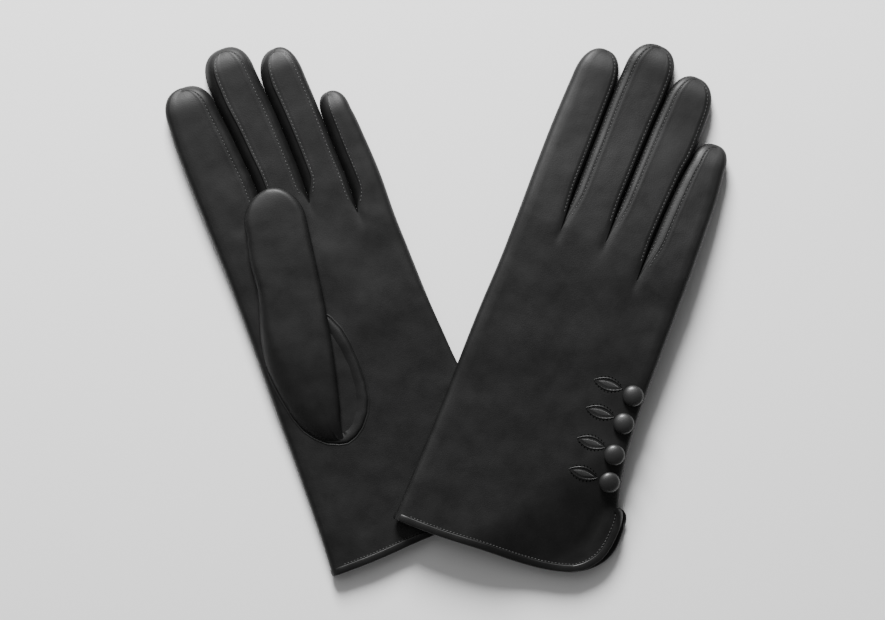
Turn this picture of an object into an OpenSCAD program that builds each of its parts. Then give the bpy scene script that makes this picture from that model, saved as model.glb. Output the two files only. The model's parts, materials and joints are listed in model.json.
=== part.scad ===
// A pair of lined leather dress gloves, laid flat: the left one palm up, the right one back up.
// Each glove is drawn in its own frame: u across the hand (thumb side negative), v from the hem to
// the fingertips, z up from the surface it lies on. glove_frame() then turns it to its place.

/* [Glove] */
// Glove size, in French inches round the palm
glove_size = 7; // [6.5:0.5:8]
// Thickness of the leather
leather_t = 0.8; // [0.6:0.1:0.9]
// Thickness of the knitted lining
lining_t = 0.7; // [0.5:0.1:0.8]
// Height of the empty hand and fingers
hand_h = 9.5; // [9.2:0.1:11]
// Height of the cuff at its mouth
mouth_h = 8; // [7.6:0.2:8.4]
// Height of the thumb, folded over the palm
thumb_h = 8; // [7:0.5:8]
// Width of the binding round the hem and the vent
binding_w = 3.2; // [2.5:0.1:4]

/* [Buttons] */
// Diameter of a covered button
button_d = 11; // [9:0.5:12]
// Height of a button above the leather, its thread shank included
button_h = 4.5; // [4:0.1:4.5]
// Length of a mock buttonhole
leaf_len = 16.5; // [12:0.5:18]
// Width of a mock buttonhole
leaf_w = 7.5; // [5:0.5:8]

/* [Layout] */
// Turn of the left glove, anticlockwise
left_turn = 20.5; // [18:0.5:23]
// Turn of the right glove, clockwise
right_turn = 21.5; // [19:0.5:24]
// Height of the right palm over its own thumb and over the left cuff
right_lift = 9; // [9:0.1:12]

/* [Hidden] */
LEFT = "left";
RIGHT = "right";
UPPER = 0;       // the flat sheet on top
LOWER = 1;       // the flat sheet underneath
RADIAL = 2;      // the rounded side towards the thumb
ULNAR = 3;       // the rounded side towards the little finger
OUTSIDE = 0;
INSIDE = 1;

k = glove_size / 7;
left_origin = [-12.3, -120.6];
right_origin = [19.4, -125.3];
seam_gap = 0.05;                           // between solids that are sewn together
body_gap = 0.4;                            // between solids that move apart
lining_d = leather_t + 0.1;                // depth of the lining's outer face
lining_end = lining_d + lining_t;          // depth of its inner face
vent_top = 57;                             // where the vent ends and the side seam begins
knuckle_v = 160;                           // where the hand ends and the fingers begin
vent_rise = 4.6;                           // height that the left glove's own buttons lift its back
droop = 0.83;                              // share of its lift that the free cuff corner loses
fall_start = 172;                          // where the right fingers begin to slope to the surface
fall_len = 88;
tip_round = 16;                            // length of a fingertip's taper
tip_h = 2;                                 // height at the very tip
side_steps = 5;                            // facets of a rounded side
sheet_steps = 12;                          // facets across a hand panel
shank_h = 1;                               // free thread under a button
back_h = 0.8;                              // metal back of a button
cover_t = 0.6;                             // leather turned round a button's edge
binding_proud = 0.2;                       // how far the binding stands off the leather it covers

button_v = [104.4, 89.3, 72.5, 58.4];
button_u = [42, 42.8, 44.2, 47];
leaf_v = [105.3, 90.3, 74, 57.7];
leaf_u = [28, 29.5, 31, 33];
leaf_t = 0.35;                             // thickness of the sewn leaf
leaf_lift = 0.1;
leaf_steps = 6;

// Distance from the hem, left edge and right edge of the hand, the same for both gloves
hand_edge = [
    [0, -49.8, 57], [20, -49.3, 57], [57, -48.5, 57], [68, -48.5, 52.6], [80, -48.5, 50.6],
    [92, -48.5, 49.4], [104, -48.4, 48.8], [145, -47.8, 48], [160, -47.6, 47.2]
];
hand_rows = [57.2, 68, 80, 92, 104, 112, 120, 128, 145, 159.8];
cuff_rows = [0.25, 0.45, 0.6, 0.73, 0.86, 1]; // shares of the cuff's height, above its hem binding
cuff_w = 106;                              // width of the cuff
// Vent edge of the back and of the palm, from the hem (0) to the top of the vent (1)
back_vent = [[0, 56.5], [0.15, 60], [0.4, 61], [0.75, 61], [1, 57]];
palm_vent = [[0, 59.5], [0.15, 63], [0.4, 64.1], [0.75, 63], [1, 57]];
// Height of the hem's curve above its lowest point
hem_curve = [[-50, 0], [-26, 0.2], [0, 1.8], [20, 2.5], [30, 3.5], [40, 5.5], [48, 8], [53, 10], [60, 15]];

finger_names = ["index", "middle", "ring", "little"];
hinge_v = [209, 210, 204, 194];
// Distance from the hem, left edge and right edge of each finger
right_fingers = [
    [[160, -47.6, -24.7], [209, -48.5, -25.1], [224, -48.5, -25.3], [240, -48.2, -25.5], [250, -47.6, -25.7],
     [257, -46.4, -26.2], [262, -44.2, -28.2], [265, -41.5, -31], [266.3, -38.5, -33.5]],
    [[160, -24, -0.5], [210, -23.9, -0.3], [225, -23.6, 0.2], [250, -23.3, 0.6], [258, -23, 0.6],
     [265, -21.8, 0.4], [271, -19.7, -0.9], [275, -17.6, -3.5], [277.5, -14, -7.5]],
    [[160, 0.3, 21.9], [204, 0.7, 22.6], [225, 1.2, 24], [240, 1.6, 25.2], [252, 2.6, 25],
     [260, 4.8, 22.8], [266, 7.6, 19.8], [269, 11, 16]],
    [[160, 22.6, 47.2], [180, 23, 47.2], [194, 23.6, 46.7], [212, 24.6, 46.2], [225, 26, 45],
     [232, 28, 43.6], [238, 31.2, 41], [241, 34.5, 38]]
];
left_fingers = [
    [[160, -47.6, -22.6], [178, -47.4, -19.3], [209, -48, -17], [236, -48.4, -19.4], [248, -47.6, -21],
     [255, -46.3, -22.9], [260, -44, -25.4], [263.5, -41, -29], [265, -38, -32]],
    [[160, -21.8, 2.4], [178, -18.5, 5.8], [210, -16.1, 7.2], [236, -18.4, 6.3], [248, -20, 5.2],
     [256, -21.4, 4.2], [263, -21.4, 2.8], [269, -19.8, 1.2], [274, -16.6, -2], [277, -11, -7]],
    [[160, 3.2, 25.5], [178, 6.7, 28.6], [204, 8.2, 28.9], [236, 7.2, 28], [246, 6.6, 27],
     [254, 6.8, 25.8], [261, 9.2, 24], [265, 12, 22.5], [268, 16.5, 19.5]],
    [[160, 26.3, 47.2], [176, 29.5, 46.9], [194, 30, 46.6], [210, 29.6, 46], [221, 29.4, 45.2],
     [228, 29.9, 44.2], [233, 31.4, 42.2], [236.8, 34, 37.5]]
];

// Distance from the hem, left edge, right edge and height of the thumb's root, then of the rest. The right
// root is pulled in, clear of the left glove beside it.
left_root = [[69, -27, -18, 2.2], [74, -34, -17.5, 5], [82, -39.5, -15, 7]];
right_root = [[73, -23.5, -16, 2.2], [77, -29, -15.5, 4], [84, -36.5, -14.5, 7]];
thumb_upper = [
    [92, -41.8, -12.5, 8], [111, -43.8, -8, 8], [136, -40, -3.3, 8], [153, -35, -0.8, 8], [171, -32, 1.8, 7.6],
    [181, -29.5, 3.2, 6.8], [190, -26, 1.4, 5.6], [196, -22.5, -2, 4.4], [200.3, -16, -8, 2.2]
];
thumb_flat_h = 8;                          // the height that the tables above are given for
thumb_tip_v = 200.3;
thumb_open_v = 132;                        // above this the thumb is closed on its palm side
thumb_hole = [-21, 97];                    // centre of the oval thumb hole
thumb_hole_r = [22.4, 34];                 // its half width and half length
gusset_w = 2.6;                            // width of the ring sewn round the thumb hole
hole_steps = 32;

// ---- numbers ----------------------------------------------------------------------------------

function clamp(t) = min(1, max(0, t));
function smooth(t) = let (c = clamp(t)) c * c * (3 - 2 * c);
function ease(t) = (clamp(t) + smooth(t)) / 2;
function mix(a, b, t) = a + (b - a) * t;
function column(rows, n) = [for (r = rows) [r[0], r[n]]];
function at(rows, n, v) = lookup(v, column(rows, n));
function other(sheet) = sheet == UPPER ? LOWER : UPPER;
function back_sheet(g) = g == RIGHT ? UPPER : LOWER;
function fingers(g) = g == RIGHT ? right_fingers : left_fingers;
function finger_tip(g, f) = let (rows = fingers(g)[f]) rows[len(rows) - 1][0];

// Height of the hand: the mouth is lower than the palm
function hand_height(v) = mix(mouth_h, hand_h, smooth((v - 60) / 70));
// Height of a finger, which rounds down to its tip
function finger_height(g, f, v) =
    let (s = clamp((finger_tip(g, f) - v) / tip_round)) tip_h + (hand_h - tip_h) * sqrt(1 - pow(1 - s, 2));
// How far the right glove lies above the surface at a point
function lift(u, v) =
    let (corner = (u + 25) * 0.795 - v * 0.606)
    right_lift * (1 - ease((v - fall_start) / fall_len)) * (1 - droop * smooth((corner - 6) / 44));
// How far the left glove's back is pushed up by the buttons under it
function push(u, v) = vent_rise * smooth((u - 2) / 13) * smooth((v - 34) / 14) * (1 - smooth((v - 112) / 16));
// A point of a glove's section, moved to where the glove lies at that place
function laid(g, u, v, z, h) =
    [k * u, k * v, g == RIGHT ? z + lift(u, v) : z + push(u, v) * (1 - z / h)];

// A point of a flattened tube's section, d below its outer face; t runs across a sheet or round a side
function section(left, right, h, part, t, d) =
    let (c = h / 2, r = c - d)
    part == UPPER ? [mix(left + c, right - c, t), c + r]
    : part == LOWER ? [mix(left + c, right - c, t), c - r]
    : part == RADIAL ? [left + c - r * sin(180 * t), c + r * cos(180 * t)]
    : [right - c + r * sin(180 * t), c + r * cos(180 * t)];

// ---- closed solids from grids of points ---------------------------------------------------------

function split(a, b, c, d) = [[a, b, c], [a, c, d]];
function flat_list(lists) = [for (l = lists) for (x = l) x];
function turned(faces, flip) = flip ? [for (f = faces) [f[0], f[2], f[1]]] : faces;

// A bent plate: p(i, j, face) gives its points for i in 0..n and j in 0..m on its two faces
module plate(n, m, p, flip = false) {
    id = function(s, i, j) (s * (n + 1) + i) * (m + 1) + j;
    points = [for (s = [OUTSIDE, INSIDE], i = [0:n], j = [0:m]) p(i, j, s)];
    faces = flat_list(concat(
        [for (i = [0:n - 1], j = [0:m - 1]) split(id(0, i, j), id(0, i + 1, j), id(0, i + 1, j + 1), id(0, i, j + 1))],
        [for (i = [0:n - 1], j = [0:m - 1]) split(id(1, i, j), id(1, i, j + 1), id(1, i + 1, j + 1), id(1, i + 1, j))],
        [for (i = [0:n - 1]) split(id(0, i + 1, 0), id(0, i, 0), id(1, i, 0), id(1, i + 1, 0))],
        [for (i = [0:n - 1]) split(id(0, i, m), id(0, i + 1, m), id(1, i + 1, m), id(1, i, m))],
        [for (j = [0:m - 1]) split(id(0, 0, j), id(0, 0, j + 1), id(1, 0, j + 1), id(1, 0, j))],
        [for (j = [0:m - 1]) split(id(0, n, j + 1), id(0, n, j), id(1, n, j), id(1, n, j + 1))]
    ));
    polyhedron(points, turned(faces, flip));
}

// A ring that closes on itself both ways: p(i, c) gives its points, i round the ring, c round its wall
module ring(n, m, p, flip = false) {
    id = function(i, c) (i % n) * m + c % m;
    points = [for (i = [0:n - 1], c = [0:m - 1]) p(i, c)];
    faces = flat_list([for (i = [0:n - 1], c = [0:m - 1]) split(id(i, c), id(i + 1, c), id(i + 1, c + 1), id(i, c + 1))]);
    polyhedron(points, turned(faces, flip));
}

// ---- frames -------------------------------------------------------------------------------------

module glove_frame(g) {
    origin = g == RIGHT ? right_origin : left_origin;
    translate([k * origin[0], k * origin[1], 0]) rotate([0, 0, g == RIGHT ? -right_turn : left_turn]) children();
}

// Height of the glove's back at a point
function back_z(g, u, v) = laid(g, u, v, g == RIGHT ? hand_height(v) : 0, hand_height(v))[2];

// Stands its children on the glove's back at a point, square to the leather and pointing away from it
module on_back(g, u, v) {
    rise = [back_z(g, u + 1, v) - back_z(g, u - 1, v), back_z(g, u, v + 1) - back_z(g, u, v - 1)] / (2 * k);
    glove_frame(g) translate([k * u, k * v, back_z(g, u, v)]) rotate([atan(rise[1]), -atan(rise[0]), 0])
        mirror([0, 0, g == RIGHT ? 0 : 1]) children();
}

// ---- hand ---------------------------------------------------------------------------------------

// One part of the hand's tube, between two depths
module hand_part(g, part, depths, steps) {
    glove_frame(g) plate(len(hand_rows) - 1, steps, function(i, j, s)
        let (v = hand_rows[i], h = hand_height(v),
             q = section(at(hand_edge, 1, v), at(hand_edge, 2, v), h, part, j / steps, depths[s]))
        laid(g, q[0], v, q[1], h), part == LOWER || part == RADIAL);
}

// One sheet of the cuff below the vent's top: rows and columns run over shares of its length and width
module cuff_sheet(g, part, vent, depths, rows, columns) {
    glove_frame(g) plate(len(rows) - 1, len(columns) - 1, function(i, j, s)
        let (v = rows[i] * vent_top, left = at(hand_edge, 1, v) + mouth_h / 2,
             u = mix(left, lookup(rows[i], vent), columns[j]),
             start = lookup(u, hem_curve),
             z = part == UPPER ? mouth_h - depths[s] : depths[s])
        laid(g, u, mix(start, vent_top, rows[i]), z, mouth_h), part == LOWER);
}

// The cuff's rounded edge on the thumb side
module cuff_fold(g, depths, rows) {
    glove_frame(g) plate(len(rows) - 1, side_steps, function(i, j, s)
        let (v = rows[i] * vent_top, q = section(at(hand_edge, 1, v), cuff_w / 2, mouth_h, RADIAL, j / side_steps, depths[s]))
        laid(g, q[0], v, q[1], mouth_h), true);
}

hem_share = binding_w / vent_top;
vent_share = 1 - binding_w / cuff_w;
skin = [0, leather_t];
lining_skin = [lining_d, lining_end];
row_gap = 0.001;                           // share left open beside the binding
sheet_cols = [for (j = [0:sheet_steps]) j / sheet_steps * (vent_share - row_gap)];
hem_cols = concat(sheet_cols, [vent_share, 1]);
panel_rows = concat([hem_share + row_gap], cuff_rows);

module panel(g, sheet, vent) {
    hand_part(g, sheet, skin, sheet_steps);
    cuff_sheet(g, sheet, vent, skin, panel_rows, sheet_cols);
}

module hand_back(g) color("#242424") panel(g, back_sheet(g), back_vent);

module hand_palm(g) color("#2b2b2b") difference() {
    panel(g, other(back_sheet(g)), palm_vent);
    thumb_opening(g, 0);
}

// The oval cut out of the palm and its lining
module thumb_opening(g, inset) {
    z = g == RIGHT ? right_lift - 1 : hand_h / 2;
    glove_frame(g) translate([0, 0, z]) linear_extrude(hand_h / 2 + 1)
        polygon([for (i = [0:hole_steps - 1]) k * hole_point(360 * i / hole_steps, inset)]);
}

function hole_point(a, inset) =
    [thumb_hole[0] + (thumb_hole_r[0] - inset) * cos(a), thumb_hole[1] + (thumb_hole_r[1] - inset) * sin(a)];

module radial_fold(g) color("#1f1f1f") {
    hand_part(g, RADIAL, skin, side_steps);
    cuff_fold(g, skin, panel_rows);
    finger_part(g, 0, RADIAL, skin, knuckle_v + seam_gap, hinge_v[0] - body_gap / 2);
}

module ulnar_side(g) color("#1f1f1f") {
    hand_part(g, ULNAR, skin, side_steps);
    finger_part(g, 3, ULNAR, skin, knuckle_v + seam_gap, hinge_v[3] - body_gap / 2);
}

module cuff_binding(g) color("#181818") {
    thick = [-binding_proud, leather_t + binding_proud];
    flush = [0, leather_t + binding_proud];
    hem_rows = [0, hem_share];
    for (sheet = [UPPER, LOWER]) {
        vent = sheet == back_sheet(g) ? back_vent : palm_vent;
        proud = sheet == LOWER ? flush : thick;
        cuff_sheet(g, sheet, vent, proud, hem_rows, hem_cols);
        cuff_sheet(g, sheet, vent, proud, panel_rows, [vent_share, 1]);
    }
    cuff_fold(g, flush, hem_rows);
}

module thumb_gusset(g) color("#303030") {
    sheet = other(back_sheet(g));
    glove_frame(g) ring(hole_steps, 4, function(i, c)
        let (q = hole_point(360 * i / hole_steps, c == 0 || c == 3 ? seam_gap : gusset_w),
             h = hand_height(q[1]), d = c < 2 ? 0 : leather_t,
             z = sheet == UPPER ? h - d : d)
        laid(g, q[0], q[1], z, h), sheet == LOWER);
}

// The knitted lining of the hand, with the thumb hole and the vent in it
module hand_lining(g) color("#3a3a3c") difference() {
    union() {
        for (part = [UPPER, LOWER]) hand_part(g, part, lining_skin, sheet_steps);
        for (part = [RADIAL, ULNAR]) hand_part(g, part, lining_skin, side_steps);
        cuff_sheet(g, back_sheet(g), back_vent, lining_skin, panel_rows, sheet_cols);
        cuff_sheet(g, other(back_sheet(g)), palm_vent, lining_skin, panel_rows, sheet_cols);
        cuff_fold(g, lining_skin, panel_rows);
    }
    thumb_opening(g, gusset_w);
}

// ---- fingers --------------------------------------------------------------------------------------

// Rows from v0 to v1 that keep every row of the finger's own outline between them
function rows_between(rows, v0, v1) =
    concat([v0], [for (r = rows) if (r[0] > v0 + 1 && r[0] < v1 - 1) r[0]], [v1]);

module finger_part(g, f, part, depths, v0, v1) {
    table = fingers(g)[f];
    rows = rows_between(table, v0, v1);
    steps = part == UPPER || part == LOWER ? 1 : side_steps;
    glove_frame(g) plate(len(rows) - 1, steps, function(i, j, s)
        let (v = rows[i], h = finger_height(g, f, v),
             q = section(at(table, 1, v), at(table, 2, v), h, part, j / steps, min(depths[s], h / 2 - 0.02)))
        laid(g, q[0], v, q[1], h), part == LOWER || part == RADIAL);
}

// The trank's two sheets run on along each finger
module finger_sheets(g, f, v0, v1) for (sheet = [UPPER, LOWER]) finger_part(g, f, sheet, skin, v0, v1);

// The strips sewn between neighbouring fingers
module finger_sides(g, f, v0, v1) {
    if (f > 0) finger_part(g, f, RADIAL, skin, v0, v1);
    if (f < 3) finger_part(g, f, ULNAR, skin, v0, v1);
}

module finger_bases(g) color("#262626")
    for (f = [0:3]) finger_sheets(g, f, knuckle_v + seam_gap, hinge_v[f] - body_gap / 2);

module base_fourchettes(g) color("#1b1b1b")
    for (f = [0:3]) finger_sides(g, f, knuckle_v + seam_gap, hinge_v[f] - body_gap / 2);

// A finger's leather: the two sheets, with the fold on the index and little fingers
module finger_leather(g, f) color("#282828") {
    v0 = hinge_v[f] + body_gap / 2;
    finger_sheets(g, f, v0, finger_tip(g, f));
    if (f == 0) finger_part(g, f, RADIAL, skin, v0, finger_tip(g, f));
    if (f == 3) finger_part(g, f, ULNAR, skin, v0, finger_tip(g, f));
}

module finger_fourchettes(g, f) color("#1d1d1d") finger_sides(g, f, hinge_v[f] + body_gap / 2, finger_tip(g, f));

// A finger's knitted lining, open where it joins the hand's
module finger_lining(g, f) color("#3a3a3c") {
    table = fingers(g)[f];
    rows = rows_between(table, hinge_v[f] + body_gap / 2, finger_tip(g, f) - 3);
    last = len(rows) - 1;
    around = 2 * side_steps + 2;
    glove_frame(g) ring(around, 2 * len(rows), function(i, c)
        let (v = rows[c <= last ? c : 2 * last + 1 - c], h = finger_height(g, f, v),
             part = i <= side_steps ? ULNAR : RADIAL,
             t = i <= side_steps ? i / side_steps : 1 - (i - side_steps - 1) / side_steps,
             q = section(at(table, 1, v), at(table, 2, v), h, part, t, c <= last ? lining_d : lining_end))
        laid(g, q[0], v, q[1], h));
}

// ---- thumb ----------------------------------------------------------------------------------------

function thumb_rows(g) = concat(g == RIGHT ? right_root : left_root, thumb_upper);

module thumb_part(g, part, depths, v0, v1) {
    table = thumb_rows(g);
    rows = rows_between(table, v0, v1);
    steps = part == UPPER || part == LOWER ? 1 : side_steps;
    base = g == RIGHT ? 0 : hand_h + body_gap;
    glove_frame(g) plate(len(rows) - 1, steps, function(i, j, s)
        let (v = rows[i], h = at(table, 3, v) * thumb_h / thumb_flat_h,
             q = section(at(table, 1, v), at(table, 2, v), h, part, j / steps, min(depths[s], h / 2 - 0.02)))
        [k * q[0], k * v, base + q[1]], part == LOWER || part == RADIAL);
}

module thumb_shell(g, depths, v0, v1) {
    away = g == RIGHT ? LOWER : UPPER;
    thumb_part(g, away, depths, v0, v1);
    thumb_part(g, other(away), depths, thumb_open_v, v1);
    for (side = [RADIAL, ULNAR]) thumb_part(g, side, depths, v0, v1);
}

module thumb_leather(g) color("#2a2a2a") thumb_shell(g, skin, thumb_rows(g)[0][0], thumb_tip_v);

module thumb_lining(g) color("#3a3a3c") thumb_shell(g, lining_skin, 85, thumb_tip_v - 8);

// ---- buttons ----------------------------------------------------------------------------------------

module at_buttons(g) for (i = [0:3]) on_back(g, button_u[i], button_v[i]) children();

// A leather cap over the button's metal shell, turned under at its edge
module button_covers(g) color("#2f2f2f") at_buttons(g) {
    r = button_d / 2;
    dome = button_h - shank_h;
    ball = (r * r + dome * dome) / (2 * dome);
    difference() {
        intersection() {
            translate([0, 0, shank_h]) cylinder(h = dome, r = r, $fn = 48);
            translate([0, 0, button_h - ball]) sphere(r = ball, $fn = 64);
        }
        cylinder(h = shank_h + back_h + seam_gap, r = r - 2 * cover_t, $fn = 48);
    }
}

module button_backs(g) color("#8d8a84") at_buttons(g)
    translate([0, 0, shank_h]) cylinder(h = back_h, r = button_d / 2 - 2 * cover_t - seam_gap, $fn = 48);

module button_threads(g) color("#151515") at_buttons(g)
    translate([0, 0, seam_gap]) cylinder(h = shank_h - 2 * seam_gap, r = 1.1, $fn = 24);

// Sewn leaf shapes on the back, beside the buttons, that only look like buttonholes
module mock_buttonholes(g) color("#101010")
    for (n = [0:3]) glove_frame(g) plate(leaf_steps, 1, function(i, j, s)
        let (t = i / leaf_steps, u = leaf_u[n] + leaf_len * (t - 0.5),
             v = leaf_v[n] + leaf_w * (sin(180 * t) + 0.06) * (0.5 - j),
             h = hand_height(v), out = s == OUTSIDE ? leaf_lift + leaf_t : leaf_lift)
        let (q = laid(g, u, v, g == RIGHT ? h : 0, h)) [q[0], q[1], q[2] + (g == RIGHT ? out : -out)],
        g == LEFT);

// ---- nodes ------------------------------------------------------------------------------------------

hand_nodes = ["hand_back", "hand_palm", "radial_fold", "ulnar_side", "cuff_binding", "thumb_gusset", "hand_lining",
    "finger_bases", "base_fourchettes", "thumb_leather", "thumb_lining", "button_covers", "button_backs",
    "button_threads", "mock_buttonholes"];
finger_nodes = ["leather", "fourchettes", "lining"];

for (g = [LEFT, RIGHT]) {
    hand_back(g);
    hand_palm(g);
    radial_fold(g);
    ulnar_side(g);
    cuff_binding(g);
    thumb_gusset(g);
    hand_lining(g);
    finger_bases(g);
    base_fourchettes(g);
    thumb_leather(g);
    thumb_lining(g);
    button_covers(g);
    button_backs(g);
    button_threads(g);
    mock_buttonholes(g);
    for (f = [0:3]) {
        name = str(g, "_", finger_names[f]);
        finger_leather(g, f);
        finger_fourchettes(g, f);
        finger_lining(g, f);
    }
}
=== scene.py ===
"""A pair of lined black leather dress gloves, laid flat: the left one palm up, the right one back up.

Each glove is built in its own frame, in millimetres: u across the hand (thumb side negative), v from the
hem to the fingertips, z up from the surface it lies on. Glove.place() turns points into the shared frame.
"""

import json
import math

import bpy
import numpy as np
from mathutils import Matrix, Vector

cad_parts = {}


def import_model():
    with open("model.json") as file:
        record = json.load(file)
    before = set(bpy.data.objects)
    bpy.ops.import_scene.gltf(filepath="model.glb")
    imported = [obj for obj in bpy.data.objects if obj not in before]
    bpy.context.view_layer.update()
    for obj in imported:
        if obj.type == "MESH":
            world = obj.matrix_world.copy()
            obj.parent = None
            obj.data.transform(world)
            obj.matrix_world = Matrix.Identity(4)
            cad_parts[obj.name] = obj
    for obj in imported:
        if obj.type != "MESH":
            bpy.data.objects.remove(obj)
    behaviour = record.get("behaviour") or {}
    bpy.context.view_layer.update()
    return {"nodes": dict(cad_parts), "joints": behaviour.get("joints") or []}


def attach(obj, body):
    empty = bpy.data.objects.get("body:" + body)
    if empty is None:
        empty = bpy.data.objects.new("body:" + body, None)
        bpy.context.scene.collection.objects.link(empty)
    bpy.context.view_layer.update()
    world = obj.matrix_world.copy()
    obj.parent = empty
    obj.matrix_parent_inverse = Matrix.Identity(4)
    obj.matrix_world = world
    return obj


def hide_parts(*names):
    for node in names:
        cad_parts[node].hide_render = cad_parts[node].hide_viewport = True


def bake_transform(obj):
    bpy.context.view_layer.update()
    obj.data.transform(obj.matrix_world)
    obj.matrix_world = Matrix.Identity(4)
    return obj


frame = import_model()

MM = 0.001
LEFT, RIGHT = "left", "right"
FINGERS = ("index", "middle", "ring", "little")
TOP, BOTTOM = 0, 1  # the sheet that faces up, and the one underneath

# ---- sizes, in millimetres ----

PALM_H, MOUTH_H = 9.5, 8.0  # height of the empty hand, and of the cuff at its mouth
CORNER = 6.5  # how far a rounded side reaches in over a sheet
SQUARENESS = 3.0  # 2 is an ellipse, and more is a tighter fold
VENT_TOP = 47.5  # where the vent at the little-finger side ends
VENT_CLOSES, CLOSING = 30, 17  # where its edges begin to round in to each other, and over what length
TIP_H = 2.6  # height at the very tip of a finger
TIP_ROUND, TIP_FULLNESS = 13.0, 0.86  # its slope's length and its shape: 1 is round, less is fuller
FLOOR_GAP = 0.02  # no point lies lower than this
CUFF_ROWS, HAND_ROWS, FINGER_ROWS, CAP_ROWS = 30, 50, 54, 12
SIDE_COLS = 10
SEAM_OFFSETS = (0.0, 0.5, 1.2, 2.0, 3.2)  # mesh columns beside a seam, in from the panel's edge
SEAM_RELIEF = (0.30, 0.26, -0.10, 0.14, 0.0)  # height of the welt at each
SEAM_SHARE, WIDEST_PANEL = 0.3, 24  # share of a panel that those columns may take, and its greatest width
HINGE_REACH = 14.0  # finger leather starts this far below a hinge, and the hinge points lie this far either side
HINGE_V = (209, 210, 204, 194)  # how far up each finger's hinge lies
INDEX_HINGE_U = {LEFT: -32.5, RIGHT: -36.8}
LIFT, DROOP = 9.0, 0.83  # how far the right glove lies over the left, and its corner's fall
FALL_START, FALL_LEN = 172, 88  # where its fingers begin to slope to the surface, and over what length
PUSH = 4.6  # rise of the left glove's back over its own buttons
BINDING_W = 3.3
FINGER_GAP = 0.1  # between two neighbouring fingers
WALL_RISE = 5  # a fourchette gets its full shape over this length above the fork
LINING_INSET = 1.4  # how far the knit lies inside the fold on the thumb side

BUTTON_R, BUTTON_H, SHANK_H = 5.5, 4.5, 1.0
DOME_START = 1.75  # height at which a button's dome begins
BUTTONS = ((42, 104.4), (42.8, 89.3), (44.2, 72.5), (47, 58.4))
LEAVES = ((28, 105.3), (29.5, 90.3), (31, 74), (33, 57.7))
LEAF_LEN, LEAF_W, LEAF_TILT = 15.4, 5.8, math.radians(4)
SATIN_LEN, SATIN_W = LEAF_LEN * 0.74, LEAF_W * 0.52  # the satin leaf inside the corded outline
RIB_PITCH, PILLOW_PITCH = 0.62, 1.7  # of the satin's ribs, and of the cord's small swellings


def clamp(t):
    return np.clip(t, 0.0, 1.0)


def smooth(t):
    c = clamp(t)
    return c * c * (3 - 2 * c)


def mix(a, b, t):
    return a + (b - a) * t


def curve(points):
    """A smooth function through given points."""
    x, y = np.array(points, float).T
    h = np.diff(x)
    slope = np.diff(y) / h
    m = np.concatenate([slope[:1], (slope[:-1] * h[1:] + slope[1:] * h[:-1]) / (h[1:] + h[:-1]), slope[-1:]])

    def f(t):
        t = np.clip(np.asarray(t, float), x[0], x[-1])
        i = np.clip(np.searchsorted(x, t, side="right") - 1, 0, len(x) - 2)
        s = (t - x[i]) / h[i]
        return ((1 + 2 * s) * (1 - s) ** 2 * y[i] + s * (1 - s) ** 2 * h[i] * m[i]
                + s * s * (3 - 2 * s) * y[i + 1] + s * s * (s - 1) * h[i] * m[i + 1])
    return f


def waves(u, v, scale, seed):
    """Gentle unevenness with about that wavelength, from -1 to 1."""
    rng = np.random.default_rng(seed)
    total = 0
    for _ in range(7):
        a, phase, k = rng.uniform(0, 6.28), rng.uniform(0, 6.28), 6.28 / scale * rng.uniform(0.6, 1.5)
        total = total + np.sin(k * (u * math.cos(a) + v * math.sin(a)) + phase)
    return total / 2.65


# ---- outlines ----
# Points are (v, u), apart from hem, tips and OVAL, which are (u, v). fork_u, fork_v, insets, vents, open_len
# and valley hold the top sheet's values, then the bottom's. fork_v starts and ends with the height of the last
# row at the hand's two sides. Each gap is the facing edges of two fingers. caps is where the tips begin.

hem = curve([(-51, 0), (-26, 0.2), (0, 1.8), (20, 2.5), (30, 3.5), (40, 5.5), (48, 8), (53, 10), (60, 15),
             (66, 21)])
back_vent = curve([(0, 48), (1, 50.6), (2.2, 52.9), (4, 55.4), (7, 58), (11, 59.6), (17, 60.7), (26, 61.2),
                   (38, 61.1), (43, 60.4), (46, 59.2), (47.5, 57.3)])
palm_vent = curve([(0, 51), (0.8, 54.5), (1.8, 57.5), (3.5, 60.2), (6.5, 62.3), (11, 63.6), (17, 64.1),
                   (28, 64), (38, 63.5), (43, 62.4), (46, 60.4), (47.5, 57.3)])

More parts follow.
